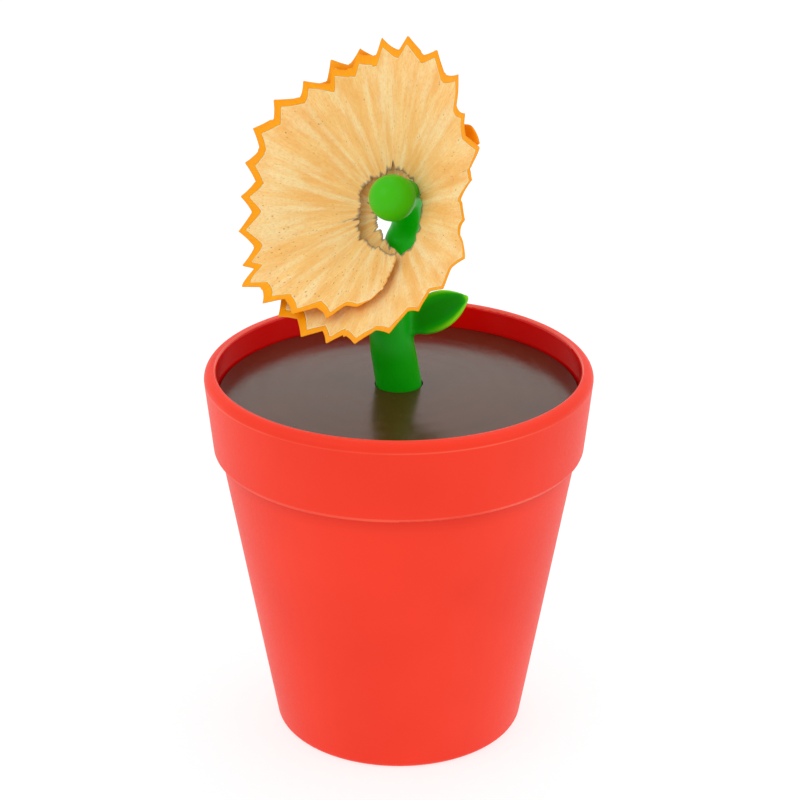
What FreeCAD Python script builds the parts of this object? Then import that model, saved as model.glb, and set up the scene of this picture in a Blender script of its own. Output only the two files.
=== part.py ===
import FreeCAD, Part
import math
import os
from FreeCAD import Vector

# Flowerpot pencil sharpener: a desk sharpener built as a small potted flower.
#
# The pot collects the shavings. A sharpener sits in its floor and takes the pencil from below.
# The soil disc is the lid, and a green stem stands in it.
# A pencil shaving hangs on the stem's hooked end as the flower.
#
# Millimetres, +Z up. The origin is the mouth of the pencil bore, in the plane that the pot stands on.

# Pot
POT_HEIGHT = 50.2
RIM_RADIUS = 25.0
BASE_RADIUS = 16.3
BAND_HEIGHT = 10.9         # the thick band below the rim
BAND_TAPER = 0.96          # how much narrower the band is at its lower edge
BAND_STEP = 0.9            # how far the band stands out from the body
POT_WALL = 1.6
RIM_LIP = 1.35             # width of the rim's top, from its outer edge to its crest
CREST_LIP = 0.27           # and from the crest to its inner edge
RIM_DROP = 1.2             # the crest stands this far above the rim's outer edge
BASE_EDGE = 0.8            # rounding of the pot's bottom edge
FLOOR = 1.8

# Soil lid
SOIL_DEPTH = 3.4           # the soil's edge lies this far below the rim's crest
SOIL_CROWN = 0.9           # the soil's middle stands this far above its edge
LID_THICKNESS = 1.8
LID_CLEARANCE = 0.25       # radial, between the lid and the pot
SKIRT_DEPTH = 4.5
SKIRT_WALL = 1.2
SOCKET_DEPTH = 7.6         # the stem's socket, below the middle of the soil
SOCKET_WALL = 1.4
SOCKET_CLEARANCE = 0.12    # radial, between the stem's peg and its socket
BOSS_FLOOR = 1.4

# Stem
STEM_RADIUS = 3.0
NECK_RADIUS = 2.0
NECK_START = 0.85          # share of the stem's length after which it keeps the neck's radius
TAPER_POWER = 1.3          # how late the stem narrows
STEM_STATIONS = 14
BALL_RADIUS = 2.95
STEM_RISE = 25.16          # the ball's centre above the middle of the soil
STEM_ROUTE = (             # the stem's centreline, from just inside the peg to the neck
    (0.04, 0.0, -0.3),
    (-0.35, 0.05, 2.6),
    (-0.9, 0.4, 5.9),
    (-0.9, 2.3, 10.4),
    (-0.1, 4.3, 14.7),
    (0.4, 5.0, 17.8),
    (1.1, 4.4, 20.9),
    (1.05, 2.8, 23.5),
)
BALL_PLACE = (-0.8, -0.4, 25.16)
LEAF_LENGTH = 9.4
LEAF_WIDTH = 5.3
LEAF_THICKNESS = 1.5
LEAF_PLACE = (4.4, -0.2, 9.6)    # the leaf's middle, from the middle of the soil
LEAF_RISE_ANGLE = 31.0           # the leaf points to the right and up
LEAF_FACE_ANGLE = 42.0           # its face looks forward and up

# Pencil, sharpener block and blade
PENCIL_BORE_RADIUS = 4.1
BORE_ENTRY = 3.0           # straight part of the bore, before the cone
BORE_WALL = 1.5            # of the block, in front of the bore's mouth
CONE_HALF_ANGLE = 11.5
SEAT_DROP = 0.15           # the blade's seat cuts this far into the cone, which opens it along a slit
SEAT_START = 0.8           # from the cone's start to the step below the seat
BLOCK_LENGTH = 24.0
BLOCK_SIDE_WALL = 2.9
BLOCK_BACK_WALL = 1.8
LEAD_HOLE_RADIUS = 0.9
RELIEF_WIDTH = 4.0         # the chip opening beside the blade
RELIEF_DEPTH = 1.1
RELIEF_START = 1.6         # from the cone's start, along the slope
GRIP_DEPTH = 0.9           # hollows in the block's sides
GRIP_RADIUS = 9.0
BLADE_THICKNESS = 0.55
BLADE_LENGTH = 19.0
BLADE_START = 1.1          # from the cone's start, along the slope
BLADE_MARGIN = 0.4         # from the blade's back edge to the block's side
BLADE_LIP = 0.2            # the cutting edge reaches this far past the cone's middle
SCREW_RADIUS = 1.05
SCREW_LENGTH = 4.6
SCREW_HOLE_EXTRA = 0.4     # the hole is this much deeper than the screw
SCREW_ACROSS = 0.56        # the screw's place, as a share of the blade's width and of the slope's length
SCREW_ALONG = 0.52
SCREW_HEAD_RADIUS = 2.0
SCREW_HEAD_HEIGHT = 0.9
SCREW_HEAD_ROUNDING = 0.3
SCREW_SLOT_WIDTH = 0.6
SCREW_SLOT_DEPTH = 0.45
SCREW_CLEARANCE = 0.05
BLADE_HOLE_CLEARANCE = 0.3

# Cradle that holds the block in the pot's floor
CRADLE_WALL = 1.3
CRADLE_CLEARANCE = 0.1     # between the block and the cradle
SIDE_WALL_SETBACK = 0.6    # the side walls stop this far behind the bore's front
BLADE_WALL_SETBACK = 1.2   # and this far behind the blade's seat
FLANGE_THICKNESS = 1.4
FLANGE_MARGIN = 1.2        # the flange reaches this far past the cradle's corners
OPENING_CLEARANCE = 0.2    # between the cradle and the pot's floor
BARB_REACH = 0.5
BARB_HEIGHT = 1.5
BARB_LENGTH = 4.0
BARB_GAP = 0.1             # between the barbs and the floor

# Shaving that hangs on the stem as the flower
SHAVING_THICKNESS = 0.3
SHAVING_SLANT = 20.6       # from the cone's tip to the shaving's teeth, as on the pencil's own cone
TOOTH_DEPTH = 1.75
EDGE_AT_TOOTH = 1.0        # width of the lacquer edge at a tooth
EDGE_AT_VALLEY = 0.6
PENCIL_SIDES = 6
PEEL_HALF_ANGLE = 12.0     # of the pencil's sharpened cone, which the curl has unrolled from
SHAVING_TEETH = 44
BLOOM_HALF_ANGLE = 64.0
BLOOM_AZIMUTH = 40.4       # the flower faces forward, turned this far to the left
BLOOM_ELEVATION = 30.0
FIRST_TOOTH_ANGLE = -67.6
TURN_PITCH = 0.75          # each turn lies this far behind the one before
BALL_AHEAD = 5.15          # the ball's centre from the cone's tip: along its axis, to the right and up
BALL_RIGHT = 3.47
BALL_UP = 0.86
HOLE_MARGIN_FRONT = 2.55   # the hole's radius past the ball's, in the first turn and the last
HOLE_MARGIN_BACK = 1.8
HOLE_CENTRE_FRONT = (2.0, -0.3)
HOLE_CENTRE_BACK = (2.7, 0.1)

Z = Vector(0, 0, 1)
EPS = 0.001


def tan(degrees):
    return math.tan(math.radians(degrees))


def cos(degrees):
    return math.cos(math.radians(degrees))


def sin(degrees):
    return math.sin(math.radians(degrees))


# Places that several pieces share
body_top_z = POT_HEIGHT - BAND_HEIGHT
band_bottom_radius = RIM_RADIUS - BAND_TAPER
body_top_radius = band_bottom_radius - BAND_STEP
body_slope = (body_top_radius - BASE_RADIUS) / body_top_z
rim_inner_radius = RIM_RADIUS - RIM_LIP - CREST_LIP
soil_edge_z = POT_HEIGHT - SOIL_DEPTH
soil_top_z = soil_edge_z + SOIL_CROWN
ledge_z = soil_edge_z - LID_THICKNESS
floor_bottom_z = FLANGE_THICKNESS
floor_top_z = floor_bottom_z + FLOOR
stem_scale = STEM_RISE / BALL_PLACE[2]

block_half_width = PENCIL_BORE_RADIUS + BLOCK_SIDE_WALL
block_back_y = -(PENCIL_BORE_RADIUS + BLOCK_BACK_WALL)
block_bottom_z = FLANGE_THICKNESS
block_top_z = block_bottom_z + BLOCK_LENGTH
cone_start_z = block_bottom_z + BORE_ENTRY
cradle_half_width = block_half_width + CRADLE_CLEARANCE + CRADLE_WALL
cradle_back_y = block_back_y - CRADLE_CLEARANCE - CRADLE_WALL
cradle_front_y = PENCIL_BORE_RADIUS - SIDE_WALL_SETBACK
block_front_y = PENCIL_BORE_RADIUS + BORE_WALL
opening_front_y = block_front_y + OPENING_CLEARANCE
cradle_top_z = block_top_z + CRADLE_CLEARANCE + CRADLE_WALL
flange_radius = math.hypot(cradle_half_width, cradle_back_y) + FLANGE_MARGIN


def wall_inner_radius(z):
    """The radius of the pot's inside below the ledge."""
    return BASE_RADIUS + body_slope * z - POT_WALL


def line(a, b):
    return Part.LineSegment(a, b).toShape()


def arc(a, middle, b):
    return Part.Arc(a, middle, b).toShape()


def box(x0, x1, y0, y1, z0, z1):
    return Part.makeBox(x1 - x0, y1 - y0, z1 - z0, Vector(x0, y0, z0))


def cylinder(radius, z0, z1, x=0.0, y=0.0):
    return Part.makeCylinder(radius, z1 - z0, Vector(x, y, z0), Z)


def revolved(edges):
    """A solid from a closed outline in the XZ plane, turned about Z."""
    face = Part.Face(Part.Wire(edges))
    return face.revolve(Vector(0, 0, 0), Z, 360)


def outline(points):
    """Straight edges through (radius, z) points, closed."""
    corners = [Vector(r, 0, z) for r, z in points]
    return [line(a, b) for a, b in zip(corners, corners[1:] + corners[:1])]


def pot():
    """The shell: a tapered pot with a band, a rounded rim, a ledge for the lid and a hole in its floor."""
    edge = BASE_EDGE
    foot_inner_radius = flange_radius + OPENING_CLEARANCE
    rim_outer_z = POT_HEIGHT - RIM_DROP
    crest_radius = RIM_RADIUS - RIM_LIP
    crest_half_z = POT_HEIGHT - 0.25 * RIM_DROP
    lip_edge_z = POT_HEIGHT - 0.35 * RIM_DROP
    diagonal = 1 - 1 / math.sqrt(2)
    p = {
        "foot_in": Vector(foot_inner_radius, 0, 0),
        "foot_out": Vector(BASE_RADIUS - edge, 0, 0),
        "edge_mid": Vector(BASE_RADIUS - edge * diagonal, 0, edge * diagonal),
        "edge_top": Vector(BASE_RADIUS + body_slope * edge, 0, edge),
        "body_top": Vector(body_top_radius, 0, body_top_z),
        "band_in": Vector(body_top_radius + 0.45 * BAND_STEP, 0, body_top_z),
        "band_mid": Vector(band_bottom_radius - 0.16 * BAND_STEP, 0, body_top_z + 0.16 * BAND_STEP),
        "band_out": Vector(band_bottom_radius, 0, body_top_z + 0.55 * BAND_STEP),
        "rim_out": Vector(RIM_RADIUS, 0, rim_outer_z),
        "rim_mid": Vector(RIM_RADIUS - 0.27 * RIM_LIP, 0, POT_HEIGHT - 0.27 * RIM_DROP),
        "crest": Vector(crest_radius, 0, POT_HEIGHT),
        "lip_mid": Vector((crest_radius + 2 * rim_inner_radius) / 3, 0, crest_half_z + 0.1 * RIM_DROP),
        "lip_in": Vector(rim_inner_radius, 0, lip_edge_z),
        "ledge_out": Vector(rim_inner_radius, 0, ledge_z),
        "ledge_in": Vector(wall_inner_radius(ledge_z), 0, ledge_z),
        "floor_out": Vector(wall_inner_radius(floor_top_z), 0, floor_top_z),
        "floor_mid": Vector(0, 0, floor_top_z),
        "under_mid": Vector(0, 0, floor_bottom_z),
        "under_out": Vector(foot_inner_radius, 0, floor_bottom_z),
    }
    straight = [
        ("foot_in", "foot_out"), ("edge_top", "body_top"), ("body_top", "band_in"), ("band_out", "rim_out"),
        ("lip_in", "ledge_out"), ("ledge_out", "ledge_in"), ("ledge_in", "floor_out"),
        ("floor_out", "floor_mid"), ("floor_mid", "under_mid"), ("under_mid", "under_out"),
        ("under_out", "foot_in"),
    ]
    round_parts = [
        ("foot_out", "edge_mid", "edge_top"), ("band_in", "band_mid", "band_out"),
        ("rim_out", "rim_mid", "crest"), ("crest", "lip_mid", "lip_in"),
    ]
    edges = [line(p[a], p[b]) for a, b in straight]
    edges += [arc(p[a], p[b], p[c]) for a, b, c in round_parts]
    shell = revolved(Part.__sortEdges__(edges))
    gap = OPENING_CLEARANCE
    opening = box(
        -cradle_half_width - gap, cradle_half_width + gap,
        cradle_back_y - gap, opening_front_y,
        floor_bottom_z - 1, floor_top_z + 1,
    )
    return shell.cut(opening)


def soil_lid():
    """The lid: a slightly domed disc with a skirt inside the pot and a blind socket for the stem's peg."""
    lid_radius = rim_inner_radius - LID_CLEARANCE
    skirt_bottom_z = ledge_z - SKIRT_DEPTH
    skirt_top = wall_inner_radius(ledge_z) - 2 * LID_CLEARANCE
    skirt_bottom = wall_inner_radius(skirt_bottom_z) - 2 * LID_CLEARANCE
    top_centre = Vector(0, 0, soil_top_z)
    top_edge = Vector(lid_radius, 0, soil_edge_z)
    top_mid = Vector(lid_radius / 2, 0, soil_edge_z + 0.75 * SOIL_CROWN)
    under_centre = Vector(0, 0, soil_top_z - LID_THICKNESS)
    under_edge = Vector(skirt_top - SKIRT_WALL, 0, ledge_z)
    under_mid = Vector(under_edge.x / 2, 0, ledge_z + 0.75 * SOIL_CROWN)
    points = [
        under_edge,
        Vector(skirt_bottom - SKIRT_WALL, 0, skirt_bottom_z),
        Vector(skirt_bottom, 0, skirt_bottom_z),
        Vector(skirt_top, 0, ledge_z),
        Vector(lid_radius, 0, ledge_z),
        top_edge,
    ]
    edges = [line(a, b) for a, b in zip(points, points[1:])]
    edges += [
        arc(top_edge, top_mid, top_centre),
        line(top_centre, under_centre),
        arc(under_centre, under_mid, under_edge),
    ]
    lid = revolved(Part.__sortEdges__(edges))
    bore = STEM_RADIUS + SOCKET_CLEARANCE
    socket_floor_z = soil_top_z - SOCKET_DEPTH
    boss = cylinder(bore + SOCKET_WALL, socket_floor_z - BOSS_FLOOR, soil_top_z - LID_THICKNESS / 2)
    return lid.fuse(boss).cut(cylinder(bore, socket_floor_z, soil_top_z + 1)).removeSplitter()


def stem_point(place):
    """A point given from the middle of the soil, in the part's frame."""
    x, y, z = place
    return Vector(x * stem_scale, y * stem_scale, soil_top_z + z * stem_scale)


def bloom_axes():
    """The way the flower faces, its right and its up."""
    facing = Vector(
        -sin(BLOOM_AZIMUTH) * cos(BLOOM_ELEVATION),
        -cos(BLOOM_AZIMUTH) * cos(BLOOM_ELEVATION),
        sin(BLOOM_ELEVATION),
    )
    right = Vector(cos(BLOOM_AZIMUTH), -sin(BLOOM_AZIMUTH), 0)
    return facing, right, facing.cross(right)


def leaf():
    """A plate pointed at both ends. It points right and up, and its face looks forward and up."""
    along = Vector(cos(LEAF_RISE_ANGLE), 0, sin(LEAF_RISE_ANGLE))
    sideways = Vector(-sin(LEAF_RISE_ANGLE), 0, cos(LEAF_RISE_ANGLE))
    across = sideways * cos(LEAF_FACE_ANGLE) + Vector(0, 1, 0) * sin(LEAF_FACE_ANGLE)
    face = along.cross(across)
    centre = stem_point(LEAF_PLACE) - face * (LEAF_THICKNESS / 2)
    root, tip = centre - along * (LEAF_LENGTH / 2), centre + along * (LEAF_LENGTH / 2)
    side = across * (LEAF_WIDTH / 2)
    rim = Part.Wire([arc(root, centre + side, tip), arc(tip, centre - side, root)])
    return Part.Face(rim).extrude(face * LEAF_THICKNESS)


def stem():
    """One moulding: a peg, a leaning stem that hooks forward, a ball at its end and a leaf."""
    ball = stem_point(BALL_PLACE)
    route = Part.BSplineCurve()
    route.interpolate([stem_point(place) for place in STEM_ROUTE] + [ball])
    first, last = route.FirstParameter, route.LastParameter
    rings = []
    for i in range(STEM_STATIONS + 1):
        share = i / STEM_STATIONS
        u = first + share * (last - first)
        radius = STEM_RADIUS + (NECK_RADIUS - STEM_RADIUS) * min(1.0, share / NECK_START) ** TAPER_POWER
        ring = Part.Circle(route.value(u), Vector(*route.tangent(u)[0]), radius)
        rings.append(Part.Wire([ring.toShape()]))
    stalk = Part.makeLoft(rings, True, False)
    peg_bottom_z = soil_top_z - SOCKET_DEPTH
    peg = cylinder(STEM_RADIUS, peg_bottom_z, soil_top_z)
    return stalk.fuse([peg, Part.makeSphere(BALL_RADIUS, ball), leaf()])


def on_blade_plane(shape, along, across, above):
    """Places a shape in the slanted plane that touches the cone.

    The shape's own Z points out of the block, its Y runs up the slope, and its X is the part's -X.
    """
    normal = Vector(0, cos(CONE_HALF_ANGLE), sin(CONE_HALF_ANGLE))
    up_slope = Vector(0, -sin(CONE_HALF_ANGLE), cos(CONE_HALF_ANGLE))
    x_axis = Vector(1, 0, 0)
    start = Vector(0, PENCIL_BORE_RADIUS, cone_start_z) - normal * SEAT_DROP
    place = start + x_axis * across + up_slope * along + normal * above
    rotation = FreeCAD.Rotation(x_axis * -1, up_slope, normal, "ZXY")
    moved = shape.copy()
    moved.Placement = FreeCAD.Placement(place, rotation)
    return moved


slope_length = (block_top_z - cone_start_z) / cos(CONE_HALF_ANGLE)
screw_across = (block_half_width - BLADE_MARGIN) * SCREW_ACROSS
screw_along = slope_length * SCREW_ALONG


def sharpener_body():
    """The wedge block: a bore and cone for the pencil, a slanted seat for the blade and a chip opening."""
    step_z = cone_start_z + SEAT_START
    seat_y = PENCIL_BORE_RADIUS - SEAT_DROP / cos(CONE_HALF_ANGLE)
    step_y = seat_y - SEAT_START * tan(CONE_HALF_ANGLE)
    top_y = seat_y - (block_top_z - cone_start_z) * tan(CONE_HALF_ANGLE)
    side = [
        (block_back_y, block_bottom_z), (block_front_y, block_bottom_z), (block_front_y, step_z),
        (step_y, step_z), (top_y, block_top_z), (block_back_y, block_top_z),
    ]
    corners = [Vector(-block_half_width, y, z) for y, z in side]
    face = Part.Face(Part.makePolygon(corners + corners[:1]))
    block = face.extrude(Vector(2 * block_half_width, 0, 0))

    cone_length = PENCIL_BORE_RADIUS / tan(CONE_HALF_ANGLE)
    blunt_length = cone_length - LEAD_HOLE_RADIUS / tan(CONE_HALF_ANGLE)
    cone = Part.makeCone(PENCIL_BORE_RADIUS, LEAD_HOLE_RADIUS, blunt_length, Vector(0, 0, cone_start_z), Z)
    bore = cylinder(PENCIL_BORE_RADIUS, block_bottom_z - 1, cone_start_z)
    lead_hole = cylinder(LEAD_HOLE_RADIUS, cone_start_z + blunt_length - EPS, block_top_z + 1)

    relief = on_blade_plane(
        box(0, RELIEF_WIDTH, RELIEF_START, 2 * slope_length, -RELIEF_DEPTH, RELIEF_DEPTH), 0, 0, 0
    )
    screw_hole = cylinder(SCREW_RADIUS + SCREW_CLEARANCE, -SCREW_LENGTH - SCREW_HOLE_EXTRA, 1)
    screw_hole = on_blade_plane(screw_hole, screw_along, screw_across, 0)
    grip_z = (block_bottom_z + block_top_z) / 2
    grips = []
    for side_sign in (-1, 1):
        x = side_sign * (block_half_width + GRIP_RADIUS - GRIP_DEPTH)
        start = Vector(x, 2 * block_back_y, grip_z)
        grips.append(Part.makeCylinder(GRIP_RADIUS, -4 * block_back_y, start, Vector(0, 1, 0)))
    return block.cut([cone, bore, lead_hole, relief, screw_hole] + grips)


def blade():
    """A flat blade, bevelled at its cutting edge, with one screw hole."""
    back = block_half_width - BLADE_MARGIN
    bevel_x = BLADE_LIP + BLADE_THICKNESS
    section = [(-BLADE_LIP, 0), (back, 0), (back, BLADE_THICKNESS), (bevel_x, BLADE_THICKNESS)]
    corners = [Vector(-x, 0, z) for x, z in section]
    face = Part.Face(Part.makePolygon(corners + corners[:1]))
    strip = face.extrude(Vector(0, BLADE_LENGTH, 0))
    strip.translate(Vector(0, BLADE_START, 0))
    hole = cylinder(SCREW_RADIUS + BLADE_HOLE_CLEARANCE, -1, 1 + BLADE_THICKNESS, -screw_across, screw_along)
    return on_blade_plane(strip.cut(hole), 0, 0, 0)


def blade_screw():
    """A slotted screw that clamps the blade to the block."""
    head = cylinder(SCREW_HEAD_RADIUS, BLADE_THICKNESS, BLADE_THICKNESS + SCREW_HEAD_HEIGHT)
    top = BLADE_THICKNESS + SCREW_HEAD_HEIGHT
    top_edges = [edge for edge in head.Edges if edge.BoundBox.ZMin > top - EPS]
    head = head.makeFillet(SCREW_HEAD_ROUNDING, top_edges)
    shank = cylinder(SCREW_RADIUS, -SCREW_LENGTH, BLADE_THICKNESS)
    half_slot = SCREW_SLOT_WIDTH / 2
    slot = box(-SCREW_HEAD_RADIUS, SCREW_HEAD_RADIUS, -half_slot, half_slot, top - SCREW_SLOT_DEPTH, top + 1)
    return on_blade_plane(head.fuse(shank).cut(slot), screw_along, screw_across, 0)


def sharpener_cradle():
    """The holder: a flange, three walls round the block, a stop over its small end and two barbs."""
    flange = cylinder(flange_radius, 0, FLANGE_THICKNESS)
    outer = box(
        -cradle_half_width, cradle_half_width, cradle_back_y, cradle_front_y,
        FLANGE_THICKNESS - EPS, cradle_top_z,
    )
    gap = CRADLE_CLEARANCE
    inner = box(
        -block_half_width - gap, block_half_width + gap, block_back_y - gap, cradle_front_y + 1,
        FLANGE_THICKNESS, block_top_z + gap,
    )
    # The stop covers only the back of the block's small end, so that the lead's tip stays free.
    top_cut = box(
        -block_half_width - gap, block_half_width + gap, -2 * LEAD_HOLE_RADIUS, cradle_front_y + 1,
        block_top_z, cradle_top_z + 1,
    )
    # The side walls slope back with the block, so that the blade's face is free.
    wide, long = 2 * cradle_half_width, 2 * slope_length
    slope_cut = on_blade_plane(box(-wide, wide, -long, long, -BLADE_WALL_SETBACK, wide), 0, 0, 0)
    cradle = outer.cut([inner, top_cut, slope_cut])
    barbs = []
    barb_y = (cradle_back_y + cradle_front_y - BARB_LENGTH) / 2
    barb_z = floor_top_z + BARB_GAP
    for side_sign in (-1, 1):
        x = side_sign * cradle_half_width
        tip_x = x + side_sign * (BARB_REACH + OPENING_CLEARANCE)
        section = [(x, barb_z), (tip_x, barb_z), (x, barb_z + BARB_HEIGHT)]
        corners = [Vector(at_x, barb_y, z) for at_x, z in section]
        barbs.append(Part.Face(Part.makePolygon(corners + corners[:1])).extrude(Vector(0, BARB_LENGTH, 0)))
    cradle = cradle.fuse([flange] + barbs)
    bore = cylinder(PENCIL_BORE_RADIUS, -1, FLANGE_THICKNESS + 1)
    return cradle.cut(bore).removeSplitter()


class Shaving:
    """A long curl of pencil: a cone of more than one turn, each turn lying just behind the last."""

    def __init__(self):
        self.facing, self.right, self.up = bloom_axes()
        offset = self.facing * BALL_AHEAD + self.right * BALL_RIGHT + self.up * BALL_UP
        self.tip = stem_point(BALL_PLACE) - offset
        self.tooth_angle = 360.0 * sin(PEEL_HALF_ANGLE) / PENCIL_SIDES / sin(BLOOM_HALF_ANGLE)
        self.teeth_per_turn = 360.0 / self.tooth_angle

    def point(self, tooth, slant):
        """A point on the curl: tooth counts along it, slant is the distance from the cone's tip."""
        angle = FIRST_TOOTH_ANGLE - tooth * self.tooth_angle
        outward = self.right * cos(angle) + self.up * sin(angle)
        back = self.facing * (TURN_PITCH * tooth / self.teeth_per_turn)
        along = self.facing * cos(BLOOM_HALF_ANGLE) + outward * sin(BLOOM_HALF_ANGLE)
        return self.tip - back + along * slant

    def hole_slant(self, tooth):
        """The slant of the inner edge: the hole is a circle beside the cone's axis."""
        share = tooth / SHAVING_TEETH
        radius = BALL_RADIUS + HOLE_MARGIN_FRONT + (HOLE_MARGIN_BACK - HOLE_MARGIN_FRONT) * share
        x = HOLE_CENTRE_FRONT[0] + (HOLE_CENTRE_BACK[0] - HOLE_CENTRE_FRONT[0]) * share
        y = HOLE_CENTRE_FRONT[1] + (HOLE_CENTRE_BACK[1] - HOLE_CENTRE_FRONT[1]) * share
        angle = FIRST_TOOTH_ANGLE - tooth * self.tooth_angle
        along = x * cos(angle) + y * sin(angle)
        across = x * sin(angle) - y * cos(angle)
        return (along + math.sqrt(radius**2 - across**2)) / sin(BLOOM_HALF_ANGLE)

    def row(self, tooth, kind):
        """One tooth's stretch of a long edge of the curl, from this tooth to the next."""
        if kind == "hole":
            slants = [self.hole_slant(tooth + share) for share in (0, 0.5, 1)]
        else:
            at_tooth, at_valley = (EDGE_AT_TOOTH, EDGE_AT_VALLEY) if kind == "wood" else (0, 0)
            tooth_slant = SHAVING_SLANT - at_tooth
            slants = [tooth_slant, SHAVING_SLANT - TOOTH_DEPTH - at_valley, tooth_slant]
        return arc(*[self.point(tooth + share, slant) for share, slant in zip((0, 0.5, 1), slants)])

    def sheet(self, inner, outer):
        """The closed solid between two long edges of the curl."""
        through = self.facing * (-SHAVING_THICKNESS / sin(BLOOM_HALF_ANGLE))
        fronts, sides = [], []
        for tooth in range(SHAVING_TEETH):
            low, high = self.row(tooth, inner), self.row(tooth, outer)
            fronts.append(Part.makeRuledSurface(low, high))
            sides += [low.extrude(through), high.extrude(through)]
        for tooth in (0, SHAVING_TEETH):
            which = min(tooth, SHAVING_TEETH - 1)
            low, high = self.row(which, inner), self.row(which, outer)
            ends = [e.valueAt(e.FirstParameter if tooth == 0 else e.LastParameter) for e in (low, high)]
            sides.append(line(*ends).extrude(through))
        backs = []
        for front in fronts:
            back = front.copy()
            back.translate(through)
            backs.append(back)
        shell = Part.makeShell([f for s in fronts + backs + sides for f in s.Faces])
        shell.sewShape()
        return Part.makeSolid(shell)


def whole(shape):
    """The shape's solids, facing outwards, as one compound or one solid."""
    solids = []
    for solid in shape.Solids:
        solids.append(solid if solid.Volume > 0 else Part.makeSolid(solid.OuterShell.reversed()))
    return solids[0] if len(solids) == 1 else Part.makeCompound(solids)


def main():
    shaving = Shaving()
    nodes = {
        "pot_shell": pot(),
        "soil_lid": soil_lid(),
        "stem_with_leaf": stem(),
        "sharpener_cradle": sharpener_cradle(),
        "sharpener_body": sharpener_body(),
        "sharpener_blade": blade(),
        "blade_screw": blade_screw(),
        "shaving_wood": shaving.sheet("hole", "wood"),
        "shaving_lacquer": shaving.sheet("wood", "rim"),
    }
    os.makedirs("parts", exist_ok=True)
    for name, shape in nodes.items():
        shape = whole(shape)
        print(name, "valid", shape.isValid(), "solids", len(shape.Solids), "faces", len(shape.Faces),
              "volume", round(shape.Volume, 2))
        shape.exportStep(f"parts/{name}.step")


main()
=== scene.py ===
import math

import bpy
import numpy as np
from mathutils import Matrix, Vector, noise


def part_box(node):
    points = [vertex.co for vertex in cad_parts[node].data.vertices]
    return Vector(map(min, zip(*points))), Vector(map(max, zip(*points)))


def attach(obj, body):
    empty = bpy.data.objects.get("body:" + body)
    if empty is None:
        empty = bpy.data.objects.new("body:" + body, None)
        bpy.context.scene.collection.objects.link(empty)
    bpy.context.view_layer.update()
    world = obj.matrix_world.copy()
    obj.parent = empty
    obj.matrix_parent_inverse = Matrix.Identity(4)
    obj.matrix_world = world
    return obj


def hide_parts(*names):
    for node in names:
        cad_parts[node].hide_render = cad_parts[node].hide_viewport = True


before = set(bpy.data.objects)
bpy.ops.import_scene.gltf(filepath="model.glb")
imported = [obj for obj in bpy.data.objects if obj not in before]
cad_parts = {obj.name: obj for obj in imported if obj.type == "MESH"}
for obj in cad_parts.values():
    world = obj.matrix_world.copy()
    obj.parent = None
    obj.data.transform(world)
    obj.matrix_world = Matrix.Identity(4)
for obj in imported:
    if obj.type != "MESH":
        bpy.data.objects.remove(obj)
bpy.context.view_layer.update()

# The flowerpot pencil sharpener. The pot, the soil lid and the sharpener are the CAD pieces with finished
# materials. The stem is a smooth moulding with a cupped leaf. The flower is a long curl of pencil shaving.
# Lengths are in millimetres until they reach a mesh, and MM turns them into metres.
MM = 0.001


# ---------------------------------------------------------------- small tools

def mesh_piece(name, points, faces, body, material):
    """A smooth-shaded piece from points in millimetres."""
    mesh = bpy.data.meshes.new(name)
    mesh.from_pydata([tuple(p) for p in np.asarray(points) * MM], [], [tuple(f) for f in faces])
    mesh.polygons.foreach_set("use_smooth", [True] * len(mesh.polygons))
    mesh.update()
    piece = bpy.data.objects.new(name, mesh)
    bpy.context.scene.collection.objects.link(piece)
    piece.data.materials.append(material)
    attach(piece, body)
    return piece


def set_attribute(piece, name, values):
    """Stores one number per point, which a material reads by name."""
    attribute = piece.data.attributes.new(name, "FLOAT", "POINT")
    attribute.data.foreach_set("value", np.asarray(values, dtype=np.float32).ravel())


def eased(points, at):
    """A smooth curve through (place, value) points, level at each point."""
    places, values = (np.array(column, dtype=float) for column in zip(*points))
    at = np.asarray(at, dtype=float)
    i = np.clip(np.searchsorted(places, at) - 1, 0, len(places) - 2)
    share = np.clip((at - places[i]) / (places[i + 1] - places[i]), 0, 1)
    share = share * share * (3 - 2 * share)
    return values[i] + (values[i + 1] - values[i]) * share


def wander(at, seed, scale=1.0):
    """A gentle random curve between about -1 and 1."""
    return np.array([noise.noise(Vector((x * scale, seed * 7.31, seed * 1.7))) for x in np.ravel(at)]) * 1.8


def smooth_step(low, high, x):
    share = np.clip((x - low) / (high - low), 0, 1)
    return share * share * (3 - 2 * share)


# ---------------------------------------------------------------- places from the frame

pot_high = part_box("pot_shell")[1]
SOIL_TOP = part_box("soil_lid")[1].z / MM
POT_TOP = pot_high.z / MM
RIM_RADIUS = pot_high.x / MM
CREST_INSET = 1.2                        # from the rim's outer edge in to the middle of its top
CREST_RADIUS = RIM_RADIUS - CREST_INSET
RIM_DROP = 1.2                           # from the pot's top down to where the rim's outer edge is
BAND_Z = 39.3                            # the lower edge of the pot's band
WALL_MIDDLE_AT_BASE = 15.8               # the radius between the pot's outside and its inside, at the floor
WALL_SLOPE = 0.174                       # and how much it grows per millimetre of height
SHADED_BELOW_BAND = 2.2                  # painted shade: the body is darker this far down from the band
BAND_ROUNDING = 0.35                     # the painted highlight line on the band's lower edge: its height above BAND_Z, and half its width
BAND_HIGHLIGHT = 0.2                          # and half its width
RIM_HIGHLIGHT = 0.1                           # half the width of the painted highlight line round the rim's outer edge
LIP_INSET = 0.2                          # the painted highlight line on the rim's inner lip: how far inside the crest, half its width, and how far down it may reach
LIP_HIGHLIGHT = 0.12                          # half its width,
LIP_DEPTH = 0.6                          # and how far down it may reach
RING_PITCH = 2.6                         # the faint rings on the soil
RING_WOBBLE = 2.0


# ---------------------------------------------------------------- materials

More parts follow.
